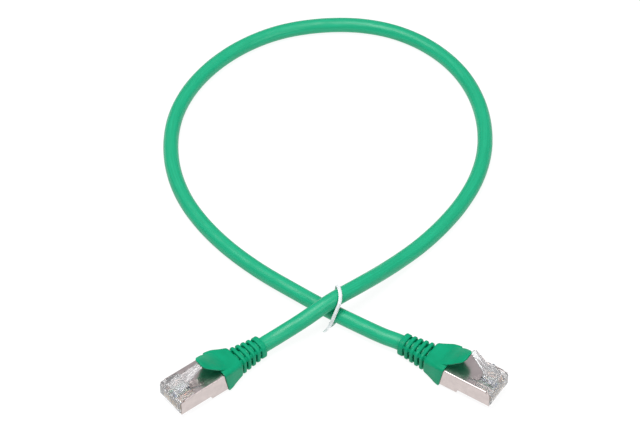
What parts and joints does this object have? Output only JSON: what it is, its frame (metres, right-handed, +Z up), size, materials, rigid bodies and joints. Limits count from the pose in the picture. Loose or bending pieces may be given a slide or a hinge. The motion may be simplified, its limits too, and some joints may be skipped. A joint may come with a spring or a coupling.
{
  "type": "ethernet patch cable",
  "caption": "Short shielded green network patch cable lying in an open loop, with a clear latching modular plug, metal shell and hooded ribbed boot at each end.",
  "frame": {"origin": "middle of the box round the two plugs, at the height of the table the cable lies on", "axes": "+X from the left-hand plug to the right-hand plug, +Y from the plugs towards the far side of the loop, +Z up"},
  "size_m": [0.1192, 0.1878, 0.0189],
  "materials": {
    "clear_polycarbonate": "clear, smooth moulded",
    "load_bar_plastic": "white moulded",
    "gold_contact": "gold plated",
    "nickel_shell": "nickel-plated folded sheet, satin bright",
    "braided_screen": "woven tinned wire",
    "green_boot": "soft satin moulding",
    "green_jacket": "smooth extruded PVC, semi-gloss",
    "cable_core_wrap": "foil and braid round four twisted pairs",
    "white_tie": "thin white plastic strip",
    "insulation_orange_white": "coloured wire insulation",
    "insulation_orange": "coloured wire insulation",
    "insulation_green_white": "coloured wire insulation",
    "insulation_blue": "coloured wire insulation",
    "insulation_blue_white": "coloured wire insulation",
    "insulation_green": "coloured wire insulation",
    "insulation_brown_white": "coloured wire insulation",
    "insulation_brown": "coloured wire insulation"
  },
  "bodies": {
    "cable": {"housing_a": "clear_polycarbonate", "load_bar_a": "load_bar_plastic", "contact_a1": "gold_contact", "conductor_a1": "insulation_orange_white", "contact_a2": "gold_contact", "conductor_a2": "insulation_orange", "contact_a3": "gold_contact", "conductor_a3": "insulation_green_white", "contact_a4": "gold_contact", "conductor_a4": "insulation_blue", "contact_a5": "gold_contact", "conductor_a5": "insulation_blue_white", "contact_a6": "gold_contact", "conductor_a6": "insulation_green", "contact_a7": "gold_contact", "conductor_a7": "insulation_brown_white", "contact_a8": "gold_contact", "conductor_a8": "insulation_brown", "shield_a": "nickel_shell", "braid_a": "braided_screen", "boot_a": "green_boot", "housing_b": "clear_polycarbonate", "load_bar_b": "load_bar_plastic", "contact_b1": "gold_contact", "conductor_b1": "insulation_orange_white", "contact_b2": "gold_contact", "conductor_b2": "insulation_orange", "contact_b3": "gold_contact", "conductor_b3": "insulation_green_white", "contact_b4": "gold_contact", "conductor_b4": "insulation_blue", "contact_b5": "gold_contact", "conductor_b5": "insulation_blue_white", "contact_b6": "gold_contact", "conductor_b6": "insulation_green", "contact_b7": "gold_contact", "conductor_b7": "insulation_brown_white", "contact_b8": "gold_contact", "conductor_b8": "insulation_brown", "shield_b": "nickel_shell", "braid_b": "braided_screen", "boot_b": "green_boot", "cable_jacket": "green_jacket", "cable_core": "cable_core_wrap", "twist_tie": "white_tie"},
    "latch_a": {"latch_a": "clear_polycarbonate"},
    "hood_a": {"hood_a": "green_boot"},
    "latch_b": {"latch_b": "clear_polycarbonate"},
    "hood_b": {"hood_b": "green_boot"}
  },
  "joints": [
    {"name": "latch_a_press", "type": "hinge", "parent": "cable", "child": "latch_a", "pos_m": [-0.05307, -0.01084, 0.0096], "axis": [-0.6225, 0.7826, 0], "range_deg": [0, 16], "stiffness_Nm_per_rad": 0.02},
    {"name": "hood_a_press", "type": "hinge", "parent": "cable", "child": "hood_a", "pos_m": [-0.04031, -0.00069, 0.0104], "axis": [0.6225, -0.7826, 0], "range_deg": [0, 20], "stiffness_Nm_per_rad": 0.02},
    {"name": "latch_b_press", "type": "hinge", "parent": "cable", "child": "latch_b", "pos_m": [0.05348, -0.00716, 0.0096], "axis": [-0.5534, -0.8329, 0], "range_deg": [0, 28], "stiffness_Nm_per_rad": 0.02},
    {"name": "hood_b_press", "type": "hinge", "parent": "cable", "child": "hood_b", "pos_m": [0.03991, 0.00186, 0.0104], "axis": [0.5534, 0.8329, 0], "range_deg": [0, 42], "stiffness_Nm_per_rad": 0.02}
  ],
  "couplings": [
    {"joint": "hood_a_press", "follows": "latch_a_press", "ratio": 1.25},
    {"joint": "hood_b_press", "follows": "latch_b_press", "ratio": 1.5}
  ]
}
